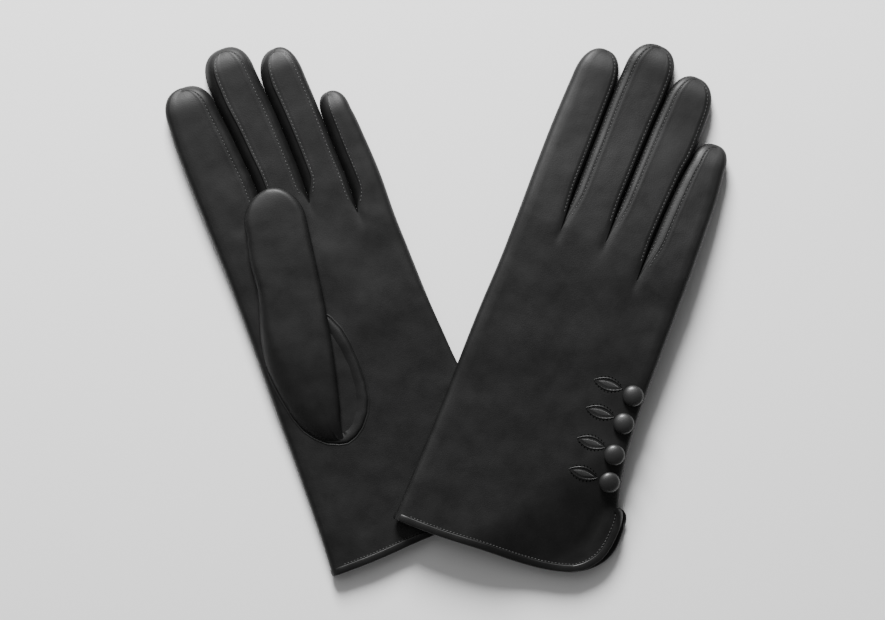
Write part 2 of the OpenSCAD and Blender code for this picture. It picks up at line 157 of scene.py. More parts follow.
OUTLINES = {
    RIGHT: dict(
        left=[(0, -49.8), (20, -49.3), (60, -48.5), (120, -48.5), (146, -47.8), (170, -48.0), (200, -48.5),
              (224, -48.5), (236, -48.2), (248, -47.8)],
        right=[(47.5, 57.3), (52, 55.8), (57, 54.4), (65, 52.7), (80, 50.2), (92, 49.2), (104, 48.8),
               (145, 48), (172, 47.5), (200, 46.7), (215, 46), (225, 45), (230, 44.4)],
        gaps=[([(160, -24.6), (170, -24.5), (200, -25.0), (228, -25.4), (248, -25.7)],
               [(160, -24), (173, -23.9), (200, -24), (225, -23.6), (250, -23.3), (262, -22.5)]),
              ([(160, -0.5), (173, -0.5), (200, -0.4), (225, 0.2), (250, 0.8), (262, 1.0)],
               [(160, 0.3), (173, 0.3), (200, 0.8), (225, 1.2), (240, 1.6), (252, 2.6)]),
              ([(160, 21.8), (200, 22.5), (225, 24), (240, 25.2), (252, 25)],
               [(160, 22.6), (180, 23), (195, 23.6), (212, 24.7), (225, 26.2), (230, 27.5)])],
        caps=(248, 262, 252, 230),
        tips=((-35.8, 267.6), (-10.6, 279.8), (13.4, 271.4), (36, 242.2)),
        fork_u=((-24, 0, 22.2), (-24.2, 0.2, 22.6)),
        fork_v=((168, 170, 173, 160, 154), (176, 182, 183, 173, 164)),
        insets=(((CORNER, 1.3), (3.4, 1.4), (3.0, 1.4), (4.0, CORNER)),
                ((CORNER, 2.4), (2.4, 2.4), (2.4, 2.4), (2.4, CORNER))),
        vents=(back_vent, palm_vent), open_len=(26, 14), valley=(0.5, 0.8), step=0.35, tip_inset=1.6),
    LEFT: dict(
        left=[(0, -49.7), (20, -48.6), (40, -48), (64, -47.6), (90, -47.5), (136, -46.9), (168, -47),
              (184, -47.5), (202, -48), (222, -48.4), (240, -48.4), (250, -47.8)],
        right=[(47.5, 57.3), (52, 55.8), (57, 54.5), (65, 52.8), (80, 50.3), (86, 49.7), (100, 48.8),
               (112, 48), (146, 47), (164, 46.6), (190, 47), (210, 46), (221, 45.2), (226, 44.5)],
        gaps=[([(160, -22.6), (178, -19.3), (199, -16.9), (209, -17), (221, -18), (236, -19.3), (250, -21)],
               [(160, -21.8), (178, -18.6), (199, -16.2), (210, -16.3), (221, -17.3), (236, -18.6),
                (248, -20.2), (262, -21.6)]),
              ([(160, 2.4), (178, 5.9), (199, 7.3), (210, 7.2), (221, 6.9), (236, 6.3), (248, 5.2),
                (262, 3.2)],
               [(160, 3.2), (178, 6.7), (199, 8.2), (210, 8.2), (221, 7.9), (236, 7.2), (250, 6.4)]),
              ([(160, 25.5), (176, 28.5), (190, 29.2), (206, 28.7), (221, 28.5), (236, 28), (250, 26.8)],
               [(160, 26.3), (176, 29.4), (190, 30.2), (206, 29.7), (221, 29.4), (226, 29.4)])],
        caps=(250, 262, 250, 226),
        tips=((-34.8, 266.5), (-8, 278.4), (18, 269), (36, 238)),
        fork_u=((-19, 7, 28.9), (-20.5, 4.8, 27.5)),
        fork_v=((174, 179, 186, 172.5, 164), (168, 170, 173, 160, 154)),
        insets=(((CORNER, 4.0), (5.2, 3.2), (4.8, 1.8), (5.2, CORNER)),
                ((CORNER, 1.6), (1.6, 1.6), (1.6, 1.6), (1.6, CORNER))),
        vents=(palm_vent, back_vent), open_len=(14, 26), valley=(0.6, 0.5), step=0.5, tip_inset=2.4),
}

# The thumb as it lies folded over the palm: left edge, right edge and height. The right glove's is tucked
# under its palm, and narrower at its root.
THUMB_OUTER = [(104, -43.2), (111, -43.7), (121, -43), (136, -40), (153, -35), (171, -32), (182, -29.2)]
thumb_left = curve([(64, -20), (66, -26.5), (70.5, -32.5), (76, -36.5), (84, -39.7), (94, -41.8), *THUMB_OUTER])
tucked_left = curve([(70, -19.5), (73, -23.5), (77, -29), (84, -36.5), (92, -41), *THUMB_OUTER])
TUCKED_ROOT = 70.0
thumb_right = curve([(64, -19), (68.5, -18.6), (74, -17.6), (82, -15), (92, -12.5), (102, -10), (111, -8),
                     (121, -6), (136, -3.3), (153, -0.8), (171, 1.8), (182, 3.3)])
thumb_height = curve([(64, 0.4), (69, 2.8), (75, 4.4), (84, 5.4), (98, 6.0), (150, 6.2), (182, 6.0),
                      (201, 5)])
THUMB_ROOT, THUMB_CAP, THUMB_TIP = 64.0, 182.0, (-11.0, 200.8)
OVAL = [(-43.8, 111), (-43.5, 104), (-42, 94), (-40, 84), (-37, 76), (-33, 70.5), (-28, 66), (-22, 63.3),
        (-18, 62.5), (-13, 64), (-8, 67.5), (-3, 73.5), (0, 80), (1.5, 88), (1.8, 99), (1, 111), (-0.5, 119),
        (-4, 127), (-10, 133.5), (-18, 136.5), (-26, 135), (-34, 129), (-40, 120.5), (-43, 114)]


def hand_height(v):
    return MOUTH_H + (PALM_H - MOUTH_H) * smooth((v - 60) / 70)


def lift(u, v):
    """How far the right glove lies above the surface at a point."""
    corner = (u + 25) * 0.795 - v * 0.606
    fall = (v - FALL_START) / FALL_LEN
    return LIFT * (1 - (clamp(fall) + smooth(fall)) / 2) * (1 - DROOP * smooth((corner - 6) / 44))


def push(u, v):
    """How far the left glove's back is pushed up by the buttons under it."""
    return PUSH * smooth((u - 2) / 13) * smooth((v - 34) / 14) * (1 - smooth((v - 112) / 16))


def side_profile(d):
    """Share of its full height that a rounded side has at a distance in from its edge."""
    return np.maximum(0, 1 - (1 - clamp(d / CORNER)) ** SQUARENESS) ** (1 / SQUARENESS)


def side_point(a):
    """Share of the way in and up from a side's rim, at an angle round it."""
    return 1 - np.cos(a) ** (2 / SQUARENESS), np.sin(a) ** (2 / SQUARENESS)


# ---- meshes ----

def grid_normals(p):
    n = np.cross(np.gradient(p, axis=1), np.gradient(p, axis=0))
    return n / np.maximum(np.linalg.norm(n, axis=-1, keepdims=True), 1e-9)


class Patches:
    """Grids of points, in millimetres, that are joined where their edges meet."""

    def __init__(self):
        self.points, self.index, self.faces, self.tags = [], {}, [], []

    def add(self, grid, tags, flip=False):
        rows, cols = grid.shape[:2]
        ids = []
        for p in grid.reshape(-1, 3):
            key = (round(p[0] * 100), round(p[1] * 100), round(p[2] * 100))
            if key not in self.index:
                self.index[key] = len(self.points)
                self.points.append(p)
            ids.append(self.index[key])
        for i in range(rows - 1):
            for j in range(cols - 1):
                a, b = i * cols + j, (i + 1) * cols + j
                f = [ids[a], ids[a + 1], ids[b + 1], ids[b]]
                f = [x for n, x in enumerate(f) if x not in f[:n]]
                if len(f) > 2:
                    self.faces.append(f[::-1] if flip else f)
                    self.tags.append(tags if isinstance(tags, str) else tags[i])


def linked(name, data):
    obj = bpy.data.objects.new(name, data)
    bpy.context.scene.collection.objects.link(obj)
    return obj


def make(name, points, faces, material, normals=None):
    mesh = bpy.data.meshes.new(name)
    mesh.from_pydata(np.asarray(points).tolist(), [], faces)
    mesh.validate()
    mesh.materials.append(material)
    mesh.polygons.foreach_set("use_smooth", [True] * len(mesh.polygons))
    if normals is not None:
        mesh.normals_split_custom_set_from_vertices(np.asarray(normals).tolist())
    mesh.update()
    return linked(name, mesh)


class Soup:
    """Loose grids and small shapes, gathered into one mesh."""

    def __init__(self):
        self.points, self.faces = [], []

    def add(self, points, faces):
        n = sum(len(p) for p in self.points)
        self.points.append(np.asarray(points, float).reshape(-1, 3))
        self.faces += [[n + i for i in f] for f in faces]

    def grid(self, p, flip=False, wrap=False):
        rows, cols = p.shape[:2]
        faces = []
        for i in range(rows - 1):
            for j in range(cols if wrap else cols - 1):
                a, b, k = i * cols + j, (i + 1) * cols + j, (j + 1) % cols - j
                f = [a, a + k, b + k, b]
                faces.append(f[::-1] if flip else f)
        self.add(p, faces)

    def make(self, name, glove, material):
        return make(f"{glove.side}_{name}", glove.place(np.concatenate(self.points)), self.faces, material)


def resample(line, pitch):
    """Points along a line at an even pitch, with their directions."""
    line = np.asarray(line, float)
    run = np.concatenate([[0], np.cumsum(np.linalg.norm(np.diff(line, axis=0), axis=1))])
    t = np.linspace(0, run[-1], max(2, int(round(run[-1] / pitch)) + 1))
    points = np.stack([np.interp(t, run, line[:, k]) for k in range(line.shape[1])], 1)
    d = np.gradient(points, axis=0)
    return points, d / np.maximum(np.linalg.norm(d, axis=1, keepdims=True), 1e-9)


STITCH = [(-1.0, 0.0), (-0.72, 0.75), (0.0, 1.0), (0.72, 0.75), (1.0, 0.0)]
STITCH_SIDES = 6


def stitch_row(soup, line, normals, pitch=2.0, length=1.2, radius=0.2, sink=0.04):
    """Sews a row of short rounded stitches along a line."""
    line = np.concatenate([np.asarray(line, float), np.asarray(normals, float)], 1)
    points, _ = resample(line, pitch)
    points, n = points[:, :3], points[:, 3:]
    d = np.gradient(points, axis=0)
    for p, t, up in zip(points[1:-1], d[1:-1], n[1:-1]):
        t = t / max(np.linalg.norm(t), 1e-9)
        side = np.cross(up, t)
        side = side / max(np.linalg.norm(side), 1e-9)
        up = np.cross(t, side)
        rings, faces = [], []
        for i, (x, r) in enumerate(STITCH):
            for j in range(STITCH_SIDES):
                a = 2 * math.pi * j / STITCH_SIDES
                rings.append(p + t * x * length / 2 + side * r * radius * math.cos(a)
                             + up * (r * radius * math.sin(a) + radius * 0.5 - sink))
                if i:
                    k, m = i * STITCH_SIDES + j, i * STITCH_SIDES + (j + 1) % STITCH_SIDES
                    faces.append([k - STITCH_SIDES, m - STITCH_SIDES, m, k])
        soup.add(rings, faces)


def sweep(soup, line, normals, profile):
    """Runs a profile of (across, up) points along a line."""
    d = np.gradient(line, axis=0)
    d = d / np.linalg.norm(d, axis=1, keepdims=True)
    side = np.cross(normals, d)
    side = side / np.linalg.norm(side, axis=1, keepdims=True)
    soup.grid(np.stack([line + side * x + normals * y for x, y in profile], 1), flip=True)


# ---- materials ----

class Nodes:
    """A short way to write a node material."""

    def __init__(self, name, roughness, specular=0.5, metallic=0.0):
        self.material = bpy.data.materials.new(name)
        self.material.use_nodes = True
        self.tree = self.material.node_tree
        self.shader = self.tree.nodes["Principled BSDF"]
        self.shader.inputs["Roughness"].default_value = roughness
        self.shader.inputs["Specular IOR Level"].default_value = specular
        self.shader.inputs["Metallic"].default_value = metallic
        self.coords = self.node("ShaderNodeTexCoord").outputs["Object"]

    def node(self, kind, **values):
        n = self.tree.nodes.new(kind)
        for key, value in values.items():
            if key in n.inputs:
                n.inputs[key].default_value = value
            else:
                setattr(n, key, value)
        return n

    def link(self, a, b):
        self.tree.links.new(a, b)
        return b

    def noise(self, scale, detail=3.0, roughness=0.55):
        n = self.node("ShaderNodeTexNoise", Scale=scale, Detail=detail, Roughness=roughness)
        self.link(self.coords, n.inputs["Vector"])
        return n.outputs["Fac"]

    def cells(self, scale):
        n = self.node("ShaderNodeTexVoronoi", Scale=scale, feature="DISTANCE_TO_EDGE")
        self.link(self.coords, n.inputs["Vector"])
        return n.outputs["Distance"]

    def span(self, value, low, high, out_low, out_high):
        n = self.node("ShaderNodeMapRange")
        for socket, x in zip(n.inputs[1:5], (low, high, out_low, out_high)):
            socket.default_value = x
        self.link(value, n.inputs[0])
        return n.outputs[0]

    def colour(self, value, dark, light):
        ramp = self.node("ShaderNodeValToRGB")
        ramp.color_ramp.elements[0].color = (*dark, 1)
        ramp.color_ramp.elements[1].color = (*light, 1)
        self.link(value, ramp.inputs["Fac"])
        self.link(ramp.outputs["Color"], self.shader.inputs["Base Color"])

    def bump(self, value, distance, strength=1.0):
        n = self.node("ShaderNodeBump", Strength=strength, Distance=distance)
        self.link(value, n.inputs["Height"])
        if self.shader.inputs["Normal"].links:
            self.link(self.shader.inputs["Normal"].links[0].from_socket, n.inputs["Normal"])
        self.link(n.outputs["Normal"], self.shader.inputs["Normal"])


def leather(name, shade, roughness, grain=1.0, specular=0.35, polish=0.0):
    """Smooth black nappa: fine pores and pebbles, soft mottling, and uneven gloss."""
    m = Nodes(name, roughness, specular)
    mottle = m.noise(55, 4)
    m.colour(m.span(mottle, 0.3, 0.7, 0, 1), [shade * 0.8] * 3, [shade * 1.25] * 3)
    gloss = m.span(m.noise(130, 4), 0.3, 0.7, roughness - 0.05, roughness + 0.06)
    m.link(gloss, m.shader.inputs["Roughness"])
    m.bump(m.span(m.cells(950), 0.0, 0.25, 0, 1), 0.00004 * grain, 0.35)
    m.bump(m.noise(2300, 3), 0.00005 * grain, 0.4)
    m.bump(m.noise(170, 3, 0.5), 0.0004 * grain, 0.12)
    m.shader.inputs["Coat Weight"].default_value = polish
    m.shader.inputs["Coat Roughness"].default_value = 0.2
    return m.material


def thread(name, shade):
    m = Nodes(name, 0.5, 0.5)
    twist = m.node("ShaderNodeTexWave", Scale=900.0, Distortion=1.0)
    m.link(m.coords, twist.inputs["Vector"])
    m.colour(twist.outputs["Fac"], [shade * 0.6] * 3, [shade * 1.5] * 3)
    m.bump(twist.outputs["Fac"], 0.00005, 0.5)
    m.shader.inputs["Sheen Weight"].default_value = 0.2
    return m.material


def knit(name, shade):
    m = Nodes(name, 0.9, 0.2)
    rib = m.node("ShaderNodeTexWave", Scale=420.0, Distortion=0.6)
    m.link(m.coords, rib.inputs["Vector"])
    m.colour(rib.outputs["Fac"], [shade * 0.55] * 3, [shade * 1.3] * 3)
    m.bump(rib.outputs["Fac"], 0.0003, 0.6)
    m.bump(m.noise(1500, 2), 0.0001, 0.5)
    m.shader.inputs["Sheen Weight"].default_value = 0.4
    return m.material


def steel(name):
    m = Nodes(name, 0.35, 0.5, 1.0)
    m.colour(m.noise(300, 3), (0.42, 0.41, 0.39), (0.62, 0.61, 0.58))
    m.bump(m.noise(900, 2), 0.00003, 0.4)
    return m.material


def plain(name, shade):
    m = Nodes(name, 0.9, 0.1)
    m.colour(m.noise(8, 2), [shade] * 3, [min(1, shade * 1.01)] * 3)
    return m.material


SKIN = leather("nappa", 0.0035, 0.53)
FOURCHETTE = leather("nappa_fourchette", 0.0035, 0.52)
BINDING = leather("nappa_binding", 0.005, 0.42, 0.8)
BUTTON = leather("nappa_button", 0.009, 0.52, 0.8, 0.45, 0.25)
THREAD = thread("black_thread", 0.02)
SATIN = thread("satin_stitch", 0.009)
# Painted shade: near-black matte leather with almost no specular, standing in for the shade inside needle
# holes.
HOLE_SHADE = leather("needle_hole_shade", 0.0006, 0.95, 0.3, 0.02)
KNIT = knit("knit_lining", 0.02)
STEEL = steel("button_steel")


# ---- a glove ----

class Glove:
    def __init__(self, side):
        self.side = side
        self.lies_over = side == RIGHT
        self.palm_up = not self.lies_over
        self.outline = OUTLINES[side]
        self.left, self.right = curve(self.outline["left"]), curve(self.outline["right"])
        facing = [edge for gap in self.outline["gaps"] for edge in self.neighbours(*gap)]
        edges = [self.left, *facing, self.right]
        self.edges = [(edges[2 * f], edges[2 * f + 1]) for f in range(4)]
        joint = next(j for j in frame["joints"] if j["name"] == f"{side}_index_fold")
        self.cos, self.sin = joint["axis"][0], joint["axis"][1]
        hinge = (INDEX_HINGE_U[side], HINGE_V[0])
        self.origin_x = joint["pos_m"][0] / MM - hinge[0] * self.cos + hinge[1] * self.sin
        self.origin_y = joint["pos_m"][1] / MM - hinge[0] * self.sin - hinge[1] * self.cos
        self.columns = [self.strip_columns(f) for f in range(4)]

    @staticmethod
    def neighbours(one, other):
        """The facing edges of two fingers, which lie against each other."""
        one, other = curve(one), curve(other)

        def middle(v):
            return (one(v) + other(v)) / 2

        return (lambda v: middle(v) - FINGER_GAP / 2), (lambda v: middle(v) + FINGER_GAP / 2)

    # -- frame

    def place(self, p):
        p = np.asarray(p, float)
        x = self.origin_x + p[..., 0] * self.cos - p[..., 1] * self.sin
        y = self.origin_y + p[..., 0] * self.sin + p[..., 1] * self.cos
        return np.stack([x, y, np.maximum(p[..., 2], FLOOR_GAP)], -1) * MM

    def point(self, u, v, z):
        return Vector(self.place([u, v, z]))

    def settle(self, p):
        """Lays the flat glove where it lies: over the other cuff, or over its own buttons."""
        p = np.array(p, float)
        u, v, z = p[..., 0], p[..., 1], p[..., 2]
        if self.lies_over:
            p[..., 2] = z + lift(u, v)
        else:
            p[..., 2] = z + push(u, v) * clamp(1 - z / hand_height(v))
        p[..., 2] = np.maximum(p[..., 2], FLOOR_GAP)
        return p

    # -- the two sheets

    def strip_columns(self, f):
        """Where the mesh columns of a finger's panel lie across it, closer together at its seams."""
        width = self.edges[f][1](215) - self.edges[f][0](215) - sum(self.outline["insets"][TOP][f])
        width = min(width, WIDEST_PANEL)
        near = [x * min(1 / width, SEAM_SHARE / SEAM_OFFSETS[-1]) for x in SEAM_OFFSETS]
        middle = np.linspace(near[-1], 1 - near[-1], 9)[1:-1]
        return np.array([*near, *middle, *[1 - x for x in reversed(near)]])

    def relief(self, f):
        """Height of the seam welt at each column of a finger's panel."""
        n = len(self.columns[f]) - 2 * len(SEAM_RELIEF)
        zero = (0.0,) * len(SEAM_RELIEF)
        return np.array([*(zero if f == 0 else SEAM_RELIEF), *[0.0] * n,
                         *(zero if f == 3 else SEAM_RELIEF[::-1])])

    def sheet_z(self, sheet, u, v):
        """Height of a sheet of the hand, with the soft valleys that run down from the finger forks."""
        h = hand_height(v)
        dip = 0
        for fu, fv in zip(self.outline["fork_u"][sheet], self.outline["fork_v"][sheet][1:4]):
            dip = dip + np.exp(-((u - fu) / 2.2) ** 2) * smooth((v - fv + 9) / 9)
        dip = dip * self.outline["valley"][sheet]
        uneven = 0.28 * waves(u, v, 48, 11) + 0.055 * waves(u, v, 17, 12) + 0.012 * waves(u, v, 7, 13)
        if sheet == TOP:
            crown = 0.5 * np.maximum(0, 1 - (u / 50) ** 2)
            dent = 0.7 * np.exp(-((u - 49 - (v - 36) * 0.18) / 3.4) ** 2)
            dent = dent * smooth((v - 16) / 12) * smooth((58 - v) / 14)
            return h + crown + uneven - dip - dent
        return np.maximum(0, 0.3 + uneven * 0.5) + dip * 0.5

    def vent_round(self, v):
        """How far the open ulnar edge has closed into a rounded side."""
        return smooth((v - VENT_CLOSES) / CLOSING)

    # -- the hand

    def hand_strips(self, sheet):
        """Flat grids of the sheet's four strips, from the hem to the forks, before they are settled."""
        rows = np.arange(CUFF_ROWS + HAND_ROWS + 1)
        cuff = np.minimum(rows / CUFF_ROWS, 1)[:, None]
        hand = (np.maximum(rows - CUFF_ROWS, 0) / HAND_ROWS)[:, None]
        fork_v, fork_u = self.outline["fork_v"][sheet], self.outline["fork_u"][sheet]

        def across(u, fv):
            start = hem(u)
            return start + (VENT_TOP - start) * cuff + (fv - VENT_TOP) * hand

        left = self.left(VENT_TOP * cuff + (fork_v[0] - VENT_TOP) * hand) + CORNER
        rim = np.where(rows[:, None] <= CUFF_ROWS, self.outline["vents"][sheet](VENT_TOP * cuff),
                       self.right(VENT_TOP * cuff + (fork_v[4] - VENT_TOP) * hand))
        fan = mix(1.07, 1.0, smooth(rows / rows[-1]))[:, None]
        bounds = [left, *[fan * fu for fu in fork_u], rim - CORNER]
        strips = []
        for f in range(4):
            s = self.columns[f][None, :]
            u = mix(bounds[f], bounds[f + 1], s)
            v = across(u, mix(fork_v[f], fork_v[f + 1], s))
            strips.append(np.stack([u, v, self.sheet_z(sheet, u, v)], -1))
        rim_v = across(rim, fork_v[4])
        return strips, np.concatenate([rim, rim_v], 1), cuff

    def hand(self, patches):
        """The hand's two sheets, its fold on the thumb side and its ulnar side with the open vent."""
        (top, top_rim, cuff), (bottom, bottom_rim, _) = self.hand_strips(TOP), self.hand_strips(BOTTOM)
        for sheet, strips in ((TOP, top), (BOTTOM, bottom)):
            for grid in strips:
                patches.add(self.settle(grid), "hand", sheet == BOTTOM)
        starts = top[0][:, 0], bottom[0][:, 0]
        fold = self.round_side(*starts, self.side_rim(*starts, self.left))
        patches.add(self.settle(fold), "hand", True)
        ends = [top[3][:, -1], bottom[3][:, -1]]
        middle_v = (ends[0][:, 1] + ends[1][:, 1]) / 2
        closed = cuff[:, 0] >= 1
        quarters = []
        for sheet, rim in ((TOP, top_rim), (BOTTOM, bottom_rim)):
            rim_u = np.where(closed, self.right(middle_v), rim[:, 0])
            rim_v = np.where(closed, middle_v, rim[:, 1])
            quarters.append(self.ulnar_quarter(ends[sheet], rim_u, rim_v, cuff[:, 0]))
            patches.add(self.settle(quarters[-1]), "hand", sheet == BOTTOM)
        return top, bottom, quarters

    def ulnar_quarter(self, end, rim_u, rim_v, cuff):
        """Columns from a sheet's last strip out to the ulnar edge: flat at the vent, rounded above it."""
        a = np.linspace(math.pi / 2, 0, SIDE_COLS // 2 + 1)[None, :]
        reach, rise = side_point(a)
        u = mix(rim_u[:, None], end[:, :1], reach)
        v = mix(rim_v[:, None], end[:, 1:2], reach)
        z = end[:, 2:] + 0 * a
        middle = hand_height(v) / 2
        z = mix(z, middle + (z - middle) * rise, self.vent_round(VENT_TOP * cuff[:, None]))
        return np.stack([u, v, z], -1)

    def side_rim(self, top, bottom, edge, inset=0):
        """Points half way up a rounded side, along that edge."""
        v = (top[:, 1] + bottom[:, 1]) / 2
        return np.stack([edge(v) + inset, v, hand_height(v) / 2], -1)

    def round_side(self, top, bottom, rim, angles=(math.pi / 2, math.pi / 2), sag=0):
        """Columns round a side, from a line on the top sheet through the rim to one on the bottom sheet."""
        out = []
        for q in np.linspace(0, 1, SIDE_COLS + 1):
            start, full = (top, angles[0]) if q <= 0.5 else (bottom, angles[1])
            (reach, rise), (full_reach, full_rise) = side_point(full * abs(1 - 2 * q)), side_point(full)
            p = mix(rim, start, reach / full_reach)
            p[:, 2] = mix(rim[:, 2], start[:, 2], (rise / full_rise) ** (1 + sag * (q < 0.5)))
            out.append(p)
        return np.stack(out, 1)

    # -- the fingers

    def finger_height(self, f, v):
        s = clamp((self.outline["tips"][f][1] - v) / TIP_ROUND)
        return TIP_H + (PALM_H - TIP_H) * np.sqrt(1 - (1 - s) ** 2)

    def finger_edges(self, f, sheet, side):
        """Silhouette, panel edge, and how far the fork and its wall have opened, row by row, on one side."""
        o = self.outline
        cap, (tip_u, tip_v) = o["caps"][f], o["tips"][f]
        fv = o["fork_v"][sheet][f + side]
        fold = (f, side) in ((0, 0), (3, 1))
        inset = o["insets"][sheet][f][side]
        sign = 1 - 2 * side
        v = fv + (cap - fv) * np.linspace(0, 1, FINGER_ROWS + 1)
        w = smooth((v - fv) / o["open_len"][sheet])
        swell = np.concatenate([smooth((v - fv) / WALL_RISE), np.ones(CAP_ROWS)])
        rim = self.edges[f][side](v)
        fork_u = rim + sign * inset if fold else o["fork_u"][sheet][f - 1 + side]
        panel = mix(fork_u, rim + sign * inset, w)
        phi = np.linspace(0, math.pi / 2, CAP_ROWS + 1)[1:]
        ends = [self.edges[f][s](cap) for s in (0, 1)]
        centre = mix((ends[0] + ends[1]) / 2, tip_u, 1 - np.cos(phi))
        half = (ends[1] - ends[0]) / 2
        wide, far = np.maximum(np.cos(phi), 0) ** TIP_FULLNESS, np.sin(phi) ** TIP_FULLNESS
        rim = np.concatenate([rim, centre - sign * half * wide])
        panel = np.concatenate([panel, centre - sign * (half - inset) * wide])
        rim_v = np.concatenate([v, cap + (tip_v - cap) * far])
        panel_v = np.concatenate([v, cap + (tip_v - cap - o["tip_inset"]) * far])
        w = np.concatenate([w, np.ones(CAP_ROWS)])
        return rim, rim_v, panel, panel_v, w, swell

    def finger(self, f, patches):
        """A finger's two panels and its fold go into patches; its seams and walls are kept for later."""
        edges = [[self.finger_edges(f, sheet, side) for side in (0, 1)] for sheet in (TOP, BOTTOM)]
        furthest = np.max([edges[sheet][side][3] for sheet in (TOP, BOTTOM) for side in (0, 1)], axis=0)
        cut = int(np.sum(furthest <= HINGE_V[f] - HINGE_REACH - 0.5)) - 1
        tags = ["hand" if i < cut else FINGERS[f] for i in range(len(furthest))]
        s = self.columns[f][None, :]
        panels, opens = [], []
        for sheet in (TOP, BOTTOM):
            (rim_l, _, pan_l, pv_l, w_l, _), (rim_r, _, pan_r, pv_r, w_r, _) = edges[sheet]
            w_l, w_r = (w_r if f == 0 else w_l), (w_l if f == 3 else w_r)
            u = mix(pan_l[:, None], pan_r[:, None], s)
            v = mix(pv_l[:, None], pv_r[:, None], s)
            w = mix(w_l[:, None], w_r[:, None], s)
            h = self.finger_height(f, v)
            profile = side_profile(u - rim_l[:, None]) * side_profile(rim_r[:, None] - u)
            profile[FINGER_ROWS + 1:] = profile[FINGER_ROWS]
            out = 1 if sheet == TOP else -1
            uneven = 0.16 * waves(u, v, 34, 21 + f) + 0.03 * waves(u, v, 12, 31 + f)
            full = h / 2 + out * (h / 2 * profile + (0.35 if sheet == TOP else 0) * profile)
            full = full + (uneven if sheet == TOP else np.abs(uneven) * 0.5) + out * self.relief(f)[None, :]
            z = mix(self.sheet_z(sheet, u, v), full, w)
            grid = np.stack([u, v, z], -1)
            panels.append(grid)
            opens.append((w_l, w_r))
            lipped = [grid]
            drop = np.array([0.3, 0, -out * (self.outline["step"] + 0.5)])
            if f > 0:
                lipped.insert(0, (grid[:, 0] + drop * w_l[:, None])[:, None])
            if f < 3:
                lipped.append((grid[:, -1] + drop * [-1, 1, 1] * w_r[:, None])[:, None])
            patches.add(self.settle(np.concatenate(lipped, 1)), tags, sheet == BOTTOM)
        walls = []
        for side in (0, 1):
            col = 0 if side == 0 else -1
            top, bottom = panels[TOP][:, col], panels[BOTTOM][:, col]
            t, b = edges[TOP][side], edges[BOTTOM][side]
            v = (t[1] + b[1]) / 2
            straight = np.arange(len(v)) <= FINGER_ROWS
            rim_u = np.where(straight, self.edges[f][side](v), t[0])
            rim = np.stack([rim_u, v, self.finger_height(f, v) / 2], -1)
            if (f, side) in ((0, 0), (3, 1)):
                patches.add(self.settle(self.round_side(top, bottom, rim)), tags, side == 0)
                continue
            sign = 1 - 2 * side
            w = np.stack([opens[TOP][side], opens[BOTTOM][side]])[:, :, None]
            step = self.outline["step"]
            starts = [top + np.array([sign * 0.5, 0, -step]) * w[0],
                      bottom + np.array([sign * 0.5, 0, step * 0.6]) * w[1]]
            insets = [min(inset[f][side] + 0.5, CORNER - 0.2) for inset in self.outline["insets"]]
            angles = [math.acos((1 - inset / CORNER) ** (SQUARENESS / 2)) for inset in insets]
            sag = 0 if self.lies_over else 2.4 * clamp((self.outline["insets"][TOP][f][side] - 2) / 3)
            full = self.round_side(*starts, rim, angles, sag)
            q = np.linspace(0, 1, SIDE_COLS + 1)[None, :, None]
            fork = mix(top[:, None], bottom[:, None], q)
            swell = mix(t[5][:, None, None], b[5][:, None, None], q)
            walls.append((mix(fork, full, swell), side == 0))
        return panels, opens, walls

    def hinge(self, f):
        """The two points, in the shared frame, HINGE_REACH either side of a finger's hinge, across its middle.
        """
        u = (self.edges[f][0](HINGE_V[f]) + self.edges[f][1](HINGE_V[f])) / 2
        return [self.point(u, HINGE_V[f] + x, PALM_H) for x in (-HINGE_REACH, HINGE_REACH)]

    def bend(self, obj, f, *nodes, slot="leather"):
        start, end = self.hinge(f)
        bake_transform(obj)
        return self.stand_for(obj, nodes)

    def carry(self, obj, *nodes, slot="leather"):
        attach(obj, f"{self.side}_hand")
        return self.stand_for(obj, nodes)

    def stand_for(self, obj, nodes):
        if nodes:
            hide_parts(*[f"{self.side}_{n}" for n in nodes])
        return obj

    def leather(self):
        """The trank: hand and fingers in one run of leather, split for the joints with its shading kept."""
        patches = Patches()
        self.tops, self.bottoms, self.quarters = self.hand(patches)
        self.parts = [self.finger(f, patches) for f in range(4)]
        points = self.place(patches.points)
        whole = bpy.data.meshes.new("whole")
        whole.from_pydata(points.tolist(), [], patches.faces)
        normals = np.zeros(len(points) * 3, np.float32)
        whole.vertex_normals.foreach_get("vector", normals)
        normals = normals.reshape(-1, 3)
        bpy.data.meshes.remove(whole)
        for tag in ("hand", *FINGERS):
            faces = [f for f, t in zip(patches.faces, patches.tags) if t == tag]
            used = sorted({i for f in faces for i in f})
            number = {i: n for n, i in enumerate(used)}
            obj = make(f"{self.side}_{tag}_skin", points[used], [[number[i] for i in f] for f in faces], SKIN,
                       normals[used])
            if tag == "hand":
                self.carry(obj, "hand_back", "hand_palm", "radial_fold", "ulnar_side", "finger_bases")
            else:
                self.bend(obj, FINGERS.index(tag), f"{tag}_leather")

    def fourchettes(self):
        for f, name in enumerate(FINGERS):
            soup = Soup()
            for wall, flip in self.parts[f][2]:
                soup.grid(self.settle(wall), flip)
            nodes = (f"{name}_fourchettes",) + (("base_fourchettes",) if f == 0 else ())
            self.bend(soup.make(f"{name}_sides", self, FOURCHETTE), f, *nodes, slot="fourchette")

